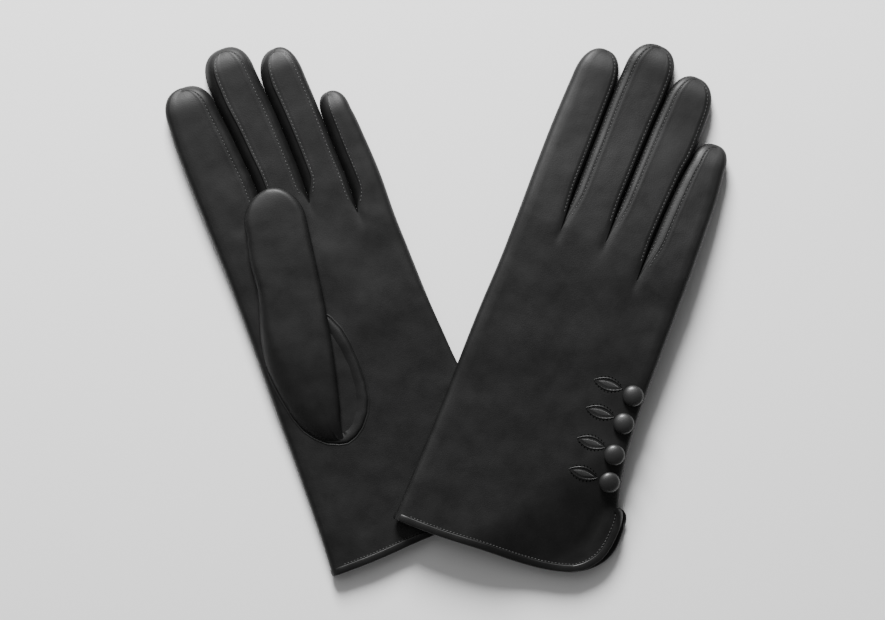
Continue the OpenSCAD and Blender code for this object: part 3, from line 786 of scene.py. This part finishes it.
    def finger_stitches(self):
        """The rows of fine stitches just inside every finger panel's seams."""
        for f, name in enumerate(FINGERS):
            soup = Soup()
            panels, opens = self.parts[f][:2]
            for sheet in (TOP, BOTTOM):
                grid = self.settle(panels[sheet])
                normals = grid_normals(grid) * (1 if sheet == TOP else -1)
                for side in (0, 1):
                    if (f, side) in ((0, 0), (3, 1)):
                        continue
                    rows = np.nonzero(opens[sheet][side] > 0.25)[0][:-2]
                    col = 2 if side == 0 else -3
                    stitch_row(soup, grid[rows, col], normals[rows, col])
                    if sheet == TOP and self.lies_over and side == 0:
                        wall = self.settle(self.parts[f][2][0][0])[rows, 2]
                        stitch_row(soup, wall, np.zeros_like(wall) + [-0.5, 0, 0.86])
            self.bend(soup.make(f"{name}_stitches", self, THREAD), f, slot="thread")

    # -- lining

    def lining(self):
        soup = Soup()
        rows = sorted({*range(0, CUFF_ROWS + HAND_ROWS + 1, 3), CUFF_ROWS + HAND_ROWS})
        shifted = []
        for strips, quarter, down in ((self.tops, self.quarters[0], -1), (self.bottoms, self.quarters[1], 1)):
            sheet = np.concatenate([*[s[:, :-1:2] for s in strips], strips[3][:, -1:]], 1)[rows]
            rim = quarter[rows, -1:]
            middle = hand_height(rim[:, 0, 1]) / 2
            closed = self.vent_round(np.minimum(rim[:, 0, 1], VENT_TOP))
            sheet = np.concatenate([sheet, rim], 1)
            sheet[..., 2] += down * 1.6
            sheet[:, -1, 2] = mix(sheet[:, -1, 2], middle, closed)
            sheet[:, -1, 0] -= 2.0
            sheet[0, :, 1] += 0.6
            shifted.append(sheet)
            soup.grid(self.settle(sheet), down > 0)
        starts = shifted[0][:, 0], shifted[1][:, 0]
        rim = self.side_rim(*starts, self.left, LINING_INSET)
        soup.grid(self.settle(self.round_side(*starts, rim)), True)
        self.carry(soup.make("hand_knit", self, KNIT), "hand_lining", slot="lining")
        turn = np.linspace(0, 2 * math.pi, 15)[:-1][None, :]
        for f, name in enumerate(FINGERS):
            base = max(self.outline["fork_v"][TOP][f:f + 2]) - 2
            v = np.linspace(base, self.outline["tips"][f][1] - 3, 24)[:, None]
            cap, tip_v = self.outline["caps"][f], self.outline["tips"][f][1]
            round_in = np.sqrt(np.maximum(0.05, 1 - clamp((v - cap) / (tip_v - cap)) ** 2))
            a, b = [self.edges[f][s](np.minimum(v, cap)) for s in (0, 1)]
            half = ((b - a) / 2 - 1.7) * round_in
            centre = mix((a + b) / 2, self.outline["tips"][f][0], 1 - round_in)
            h = self.finger_height(f, v) / 2
            u = centre + half * np.sign(np.cos(turn)) * np.abs(np.cos(turn)) ** 0.6
            z = h + np.maximum(h - 1.5, 0.3) * np.sign(np.sin(turn)) * np.abs(np.sin(turn)) ** 0.6
            soup = Soup()
            soup.grid(self.settle(np.stack([u, v + 0 * u, z], -1)), wrap=True)
            self.bend(soup.make(f"{name}_knit", self, KNIT), f, f"{name}_lining", slot="lining")

    # -- the cuff's binding

    def cuff_z(self, sheet, u, v):
        """Height of a sheet in the cuff, with its edge rounded down where the vent closes."""
        start = hem(u)
        nominal = VENT_TOP * clamp((v - start) / (VENT_TOP - start))
        middle = hand_height(v) / 2
        z = self.sheet_z(sheet, u, v)
        profile = side_profile(self.outline["vents"][sheet](nominal) - u)
        return mix(z, middle + (z - middle) * profile, self.vent_round(nominal))

    def cuff_edge(self, sheet):
        """The sheet's free edge and its inward direction, from the fold along the hem and up the vent."""
        vent = self.outline["vents"][sheet]
        u = np.linspace(self.left(0) + CORNER, vent(0), 60)
        n = np.linspace(0, VENT_TOP, 60)[1:]
        vu = vent(n)
        vv = hem(vu) + (VENT_TOP - hem(vu)) * n / VENT_TOP
        line, d = resample(np.concatenate([np.stack([u, hem(u)], 1), np.stack([vu, vv], 1)]), 1.3)
        inward = np.stack([-d[:, 1], d[:, 0]], 1)
        return line, inward

    def cuff_band(self, sheet, profile):
        """A band along the sheet's free edge; its profile is (in from the edge, out from the leather)."""
        line, inward = self.cuff_edge(sheet)
        out = 1 if sheet == TOP else -1
        grid = []
        for e, n in profile:
            p = line + inward * max(e, 0)
            u, v = p[:, 0], p[:, 1]
            z = self.cuff_z(sheet, u, v)
            gu = np.clip((z - self.cuff_z(sheet, u - 0.4, v)) / 0.4, -1.5, 1.5)
            normal = np.stack([-gu, 0 * gu, 1 + 0 * gu], 1) * out
            normal /= np.linalg.norm(normal, axis=1, keepdims=True)
            q = np.stack([u, v, z], 1) + normal * n
            q[:, :2] += inward * min(e, 0)
            grid.append(q)
        return np.stack(grid, 1)

    def fold_band(self, profile, ends, steps=12):
        """The same band round the fold on the thumb side; ends are its rows on the two sheets."""
        rows = []
        for k, angle in enumerate(np.linspace(math.pi / 2, -math.pi / 2, steps + 1)[1:-1]):
            share = (k + 1) / steps
            row = []
            for j, (e, n) in enumerate(profile):
                z = MOUTH_H / 2 + (MOUTH_H / 2 + n) * math.sin(angle)
                near = ends[0] if share < 0.5 else ends[1]
                rise = near[j][2] - (MOUTH_H / 2 + (MOUTH_H / 2 + n) * (1 if share < 0.5 else -1))
                row.append([self.left(0) + CORNER - (CORNER + n) * math.cos(angle),
                            mix(ends[0][j][1], ends[1][j][1], share), z + rise * abs(math.sin(angle))])
            rows.append(row)
        return np.array(rows)

    def binding(self):
        w = BINDING_W
        profile = [(w + 0.2, -0.5), (w + 0.15, 0.1), (w, 0.32), (w - 0.4, 0.44), (w * 0.5, 0.5), (0.5, 0.46),
                   (0, 0.34), (-0.28, 0.1), (-0.36, -0.5), (-0.2, -1.3), (0.4, -1.75), (w * 0.6, -1.8),
                   (w - 0.2, -1.75), (w, -1.4)]
        top, bottom = self.cuff_band(TOP, profile), self.cuff_band(BOTTOM, profile)
        fold = self.fold_band(profile, (top[0], bottom[0]))
        grid = self.settle(np.concatenate([top[::-1], fold, bottom]))
        soup = Soup()
        soup.grid(grid)
        self.carry(soup.make("cuff_band", self, BINDING), "cuff_binding", slot="binding")
        soup = Soup()
        for sheet in (TOP, BOTTOM):
            line = self.settle(self.cuff_band(sheet, [(w + 0.55, 0.02)]))[:, 0]
            normals = np.zeros_like(line) + [0, 0, 1 if sheet == TOP else -1]
            stitch_row(soup, line, normals, pitch=1.8, length=1.15, radius=0.27, sink=0.06)
        self.carry(soup.make("cuff_stitches", self, THREAD), slot="thread")

    # -- the thumb

    def thumb(self):
        """The thumb: a closed tube over the palm, or tucked under it, and its lining."""
        over = self.palm_up
        left = thumb_left if over else tucked_left
        root = THUMB_ROOT if over else TUCKED_ROOT
        v = np.linspace(root, THUMB_CAP, 50)
        phi = np.linspace(0, math.pi / 2, 14)[1:]
        ul, ur, h = left(v), thumb_right(v), thumb_height(v)
        if not over:
            h = h * smooth((v - root + 6) / 18)
        centre = mix((ul[-1] + ur[-1]) / 2, THUMB_TIP[0], 1 - np.cos(phi))
        half = (ur[-1] - ul[-1]) / 2 * np.cos(phi)
        ul, ur = np.concatenate([ul, centre - half]), np.concatenate([ur, centre + half])
        h = np.concatenate([h, mix(2.4, h[-1], np.sqrt(np.cos(phi)))])
        v = np.concatenate([v, THUMB_CAP + (THUMB_TIP[1] - THUMB_CAP) * np.sin(phi)])
        ul, ur, h, v = (x[:, None] for x in (ul, ur, h, v))
        hill = 1 - smooth((v - 128) / 44)
        width = ur - ul
        t = np.linspace(0, 1, 12)[None, :]
        tube_r = np.minimum(4.2, width * 0.45)
        hill_r = np.minimum(mix(15, 8, smooth((v - 96) / 40)), width * 0.62)
        a, b = math.pi * (t - 0.5), math.pi / 2 * t
        left_u = mix(ul + tube_r * (1 - np.cos(a)), ul + hill_r * (1 - np.cos(b)), hill)
        left_y = mix(h / 2 + h / 2 * np.sin(a), h * np.sin(b) ** 1.4, hill)
        right_r = np.minimum(3.6, width * 0.45)
        s = np.linspace(0, 1, 16)[None, 1:-1]
        mid_u = mix(left_u[:, -1:], ur - right_r, s)
        mid_y = h + 0.35 * np.sin(math.pi * s) * np.minimum(1, width / 30)
        right_u = ur - right_r * (1 - np.cos(a))
        right_y = h / 2 - h / 2 * np.sin(a)
        under_u = mix(right_u[:, -1:], left_u[:, :1], np.linspace(0, 1, 9)[None, 1:-1])
        u = np.concatenate([left_u, mid_u, right_u, under_u], 1)
        y = np.concatenate([left_y, mid_y, right_y, 0 * under_u], 1)
        v = v + 0 * u
        y = y + (0.18 * waves(u, v, 34, 41) + 0.03 * waves(u, v, 12, 42)) * clamp(y / 4)
        if over:
            base = hand_height(v) + mix(0.55, 0.15, hill)
            z = base + y
        else:
            ceiling = mix(LIFT + 0.35, h + 0.3, smooth((v - 128) / 40))
            z = np.maximum(ceiling - y, 0.05)
        soup = Soup()
        soup.grid(np.stack([u, v, z], -1), flip=not over, wrap=True)
        self.bend_thumb(soup.make("thumb_skin", self, SKIN), ("thumb_leather",))
        inner = Soup()
        shrink = np.stack([mix(u, (ul + ur) / 2, 0.12), v, mix(z, np.mean(z, 1, keepdims=True), 0.25)], -1)
        inner.grid(shrink[8:-5:3, ::3], flip=not over)
        self.bend_thumb(inner.make("thumb_knit", self, KNIT), ("thumb_lining",))

    def bend_thumb(self, obj, nodes):
        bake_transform(obj)
        self.stand_for(obj, nodes)

    def oval_seam(self):
        """The thumb's leather is turned in along an oval: a fine dark groove with a rounded lip each side."""
        over = self.palm_up
        sheet = TOP if over else BOTTOM
        line = resample(OVAL, 1.5)[0]
        if not over:
            line = line[::-1]
        z = self.sheet_z(sheet, line[:, 0], line[:, 1])
        points = self.settle(np.concatenate([line, z[:, None]], 1))
        normals = np.zeros_like(points) + [0, 0, 1 if over else -1]
        lips = [(-1.5, -0.3), (-1.0, 0.05), (-0.5, 0.2), (-0.16, 0.08), (0, -0.35), (0.16, 0.15), (0.5, 0.5),
                (1.2, 0.75), (2.2, 0.8), (3.6, 0.6), (5.2, 0.2), (7, -0.4)]
        soup = Soup()
        sweep(soup, points, normals, lips)
        self.carry(soup.make("thumb_seam", self, SKIN), "thumb_gusset")

    # -- buttons and mock buttonholes

    def back(self, u, v, out):
        """A point on the glove's back, that far out from the leather."""
        u, v = np.asarray(u, float), np.asarray(v, float)
        z = self.sheet_z(TOP, u, v) + out if self.lies_over else self.sheet_z(BOTTOM, u, v) - out
        return self.settle(np.stack([u, v, z], -1))

    def back_flat(self, u, v):
        z = hand_height(v) + lift(u, v) if self.lies_over else push(u, v)
        return float(z)

    def buttons(self):
        a = np.linspace(0, math.pi / 2, 12)
        dome = [(BUTTON_R * math.sin(x), DOME_START + (BUTTON_H - DOME_START) * math.cos(x)) for x in a]
        under = [(5.46, 1.45), (5.25, 1.15), (4.9, SHANK_H), (4.2, SHANK_H - 0.05), (0.4, SHANK_H - 0.05)]
        profile = np.array(dome + under)
        turn = np.linspace(0, 2 * math.pi, 49)[None, :]
        out = 1 if self.lies_over else -1
        soup = Soup()
        for u, v in BUTTONS:
            r, h = profile[:, :1], profile[:, 1:]
            tilt_u = (self.back_flat(u + 1, v) - self.back_flat(u - 1, v)) / 2
            tilt_v = (self.back_flat(u, v + 1) - self.back_flat(u, v - 1)) / 2
            normal = np.array([-tilt_u, -tilt_v, 1]) / math.sqrt(1 + tilt_u ** 2 + tilt_v ** 2)
            across = np.array([1, 0, tilt_u]) / math.sqrt(1 + tilt_u ** 2)
            along = np.cross(normal, across)
            grid = (np.array([u, v, self.back_flat(u, v)]) + (r * np.cos(turn))[..., None] * across
                    + (r * np.sin(turn))[..., None] * along
                    + (out * h * np.ones_like(turn))[..., None] * normal)
            soup.grid(grid, flip=out > 0)
        self.carry(soup.make("buttons", self, BUTTON), "button_covers", slot="button_leather")

    def buttonholes(self):
        """Leaf shapes on the back: ribbed satin in a corded outline, with near-black matte specks painted as
        the shade inside needle holes.
        """
        cord, satin, holes = Soup(), Soup(), Soup()
        out = 1 if self.lies_over else -1
        c, s = math.cos(LEAF_TILT), math.sin(LEAF_TILT)
        up = np.array([0, 0, out])

        def leaf(centre, length, width, t, side):
            x = length * (t - 0.5)
            y = side * width / 2 * np.sin(math.pi * t) ** 0.8
            return centre[0] + x * c - y * s, centre[1] + x * s + y * c

        for centre in LEAVES:
            t = np.linspace(0.0, 1.0, 130)[:, None]
            side = np.linspace(-1, 1, 9)[None, :]
            u, v = leaf(centre, SATIN_LEN, SATIN_W, t, side)
            rib = 0.10 * np.sin(2 * math.pi * t * LEAF_LEN * 0.74 / RIB_PITCH)
            satin.grid(self.back(u, v, (0.26 + rib) * (1 - side ** 2) ** 0.5 - 0.06), flip=out < 0)
            for one in (-1, 1):
                t = np.linspace(0.0, 1.0, 110)
                pillow = 0.8 + 0.2 * np.abs(np.cos(math.pi * t * LEAF_LEN / PILLOW_PITCH))
                ridge = []
                for across, rise in ((-0.62, -0.08), (-0.42, 0.2), (0, 0.4), (0.42, 0.2), (0.62, -0.08)):
                    u, v = leaf(centre, LEAF_LEN + across, LEAF_W + 2 * across, t, one)
                    ridge.append(self.back(u, v, rise * pillow))
                cord.grid(np.stack(ridge, 1), flip=(one < 0) != (out < 0))
                u, v = leaf(centre, LEAF_LEN + 0.8, LEAF_W + 2.1, np.linspace(0.03, 0.97, 40), one)
                line = self.back(u, v, 0.0)
                # The needle holes are sunk specks in that painted-shade material.
                stitch_row(holes, line, np.zeros_like(line) + up, length=0.8, radius=0.34, sink=0.27)
        self.carry(satin.make("buttonholes", self, SATIN), "mock_buttonholes", slot="thread")
        self.carry(cord.make("buttonhole_cords", self, BINDING))
        self.carry(holes.make("buttonhole_prick_shade", self, HOLE_SHADE), slot="thread")

    def build(self):
        self.leather()
        self.fourchettes()
        self.finger_stitches()
        self.lining()
        self.binding()
        self.thumb()
        self.oval_seam()
        self.buttons()
        self.buttonholes()
        for n, material in (("button_backs", STEEL), ("button_threads", THREAD)):
            node = frame["nodes"][f"{self.side}_{n}"]
            node.data.materials.clear()
            node.data.materials.append(material)


for one_side in (LEFT, RIGHT):
    Glove(one_side).build()

# ---- floor, light and camera ----

VIEW_CENTRE = (-0.0017, 0.0008, 0.010)
CAMERA_HEIGHT, LENS = 1.534, 120.0
FLOOR_REACH, FLOOR_SHADE = 3, 0.93
KEY = dict(place=(-0.2, 1.45, 0.9), size=0.7, power=92)  # metres and watts
FILL = dict(place=(-0.5, 0.8, 1.5), size=1.3, power=5)
WORLD_STRENGTH = 0.15


def floor():
    mesh = bpy.data.meshes.new("floor")
    corners = [(x * FLOOR_REACH, y * FLOOR_REACH, 0) for x, y in ((-1, -1), (1, -1), (1, 1), (-1, 1))]
    mesh.from_pydata(corners, [], [(0, 1, 2, 3)])
    mesh.materials.append(plain("pale_floor", FLOOR_SHADE))
    linked("floor", mesh)


def area_light(name, place, size, power):
    light = bpy.data.lights.new(name, "AREA")
    light.shape, light.size, light.energy = "DISK", size, power
    obj = linked(name, light)
    obj.location = place
    obj.rotation_euler = (-Vector(place)).to_track_quat("-Z", "Y").to_euler()


def world(strength):
    w = bpy.data.worlds.new("studio")
    w.use_nodes = True
    background = w.node_tree.nodes["Background"]
    background.inputs["Color"].default_value = (1, 1, 1, 1)
    background.inputs["Strength"].default_value = strength
    bpy.context.scene.world = w


def camera():
    data = bpy.data.cameras.new("camera")
    data.lens, data.sensor_width = LENS, 36.0
    data.clip_start, data.clip_end = 0.05, 20
    obj = linked("camera", data)
    obj.location = (VIEW_CENTRE[0], VIEW_CENTRE[1], VIEW_CENTRE[2] + CAMERA_HEIGHT)
    bpy.context.scene.camera = obj


floor()
area_light("key", **KEY)
area_light("fill", **FILL)
world(WORLD_STRENGTH)
camera()
